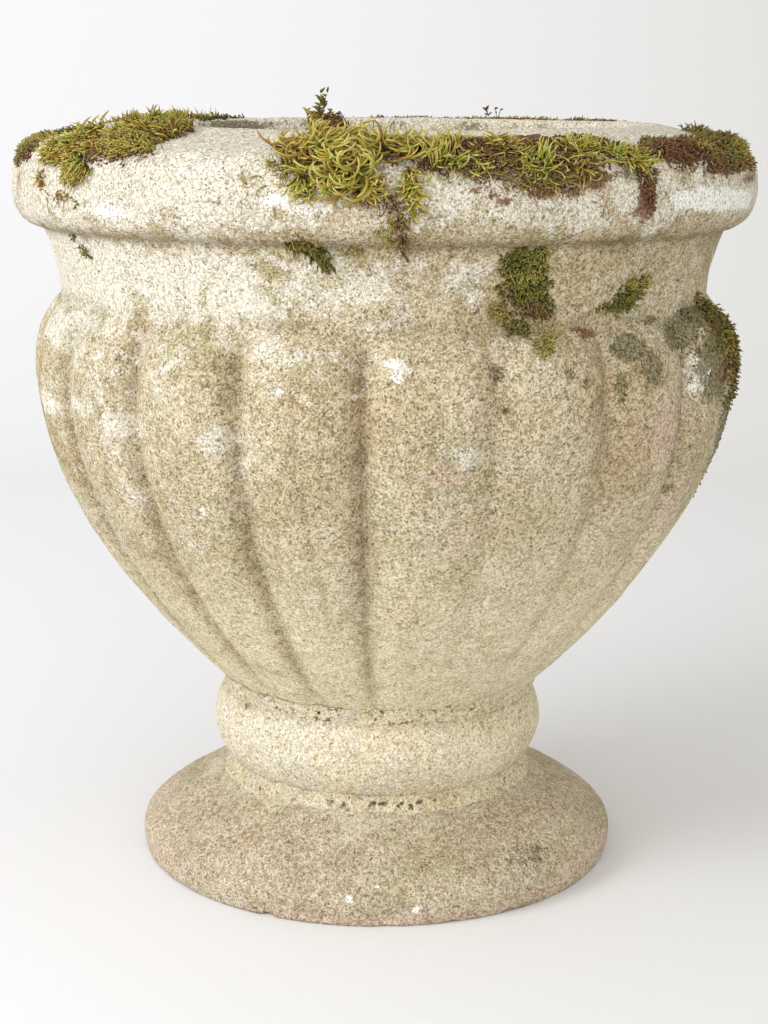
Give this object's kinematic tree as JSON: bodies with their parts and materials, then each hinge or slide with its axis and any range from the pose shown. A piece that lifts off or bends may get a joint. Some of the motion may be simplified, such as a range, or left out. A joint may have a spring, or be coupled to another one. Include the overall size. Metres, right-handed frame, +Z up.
{
  "type": "garden urn planter",
  "caption": "Weathered cast-stone urn planter: lobed bowl with a wide rolled rim, round collar and spreading foot, planting hollow with a drain, moss on rim and neck.",
  "frame": {"origin": "on the ground, straight below the middle of the rim", "axes": "+Z up along the bowl's axis, -Y towards the side seen in the picture, +X to its right"},
  "size_m": [0.4599, 0.4633, 0.4774],
  "materials": {
    "stone": "coarse sandy cast stone, speckled, grey-beige with pale cream and white lichen",
    "foot_stone": "the same cast stone, browner and smoother, with a worn, chipped edge",
    "mortar": "pale crumbly bedding mortar with open voids",
    "drain_metal": "dull galvanised tube",
    "moss_green": "long curled yellow-green moss shoots",
    "moss_brown": "red-brown moss mat with short yellow-green shoots",
    "moss_dark": "short dense dark green moss"
  },
  "bodies": {
    "root": {"foot": "foot_stone", "lower_mortar_bed": "mortar", "collar": "stone", "upper_mortar_bed": "mortar", "drain_pipe": "drain_metal", "bowl": "stone", "moss_rim_left": "moss_green", "moss_rim_far_left": "moss_brown", "moss_rim_back_left": "moss_green", "moss_rim_centre": "moss_green", "moss_rim_trail": "moss_brown", "moss_rim_right": "moss_brown", "moss_rim_far_right": "moss_dark", "moss_rim_back": "moss_brown", "moss_rim_sprig": "moss_dark", "moss_neck_left_sprig": "moss_dark", "moss_neck_patch": "moss_dark", "moss_neck_tuft": "moss_dark", "moss_shoulder_tuft": "moss_dark", "moss_shoulder_right": "moss_dark"}
  },
  "joints": []
}
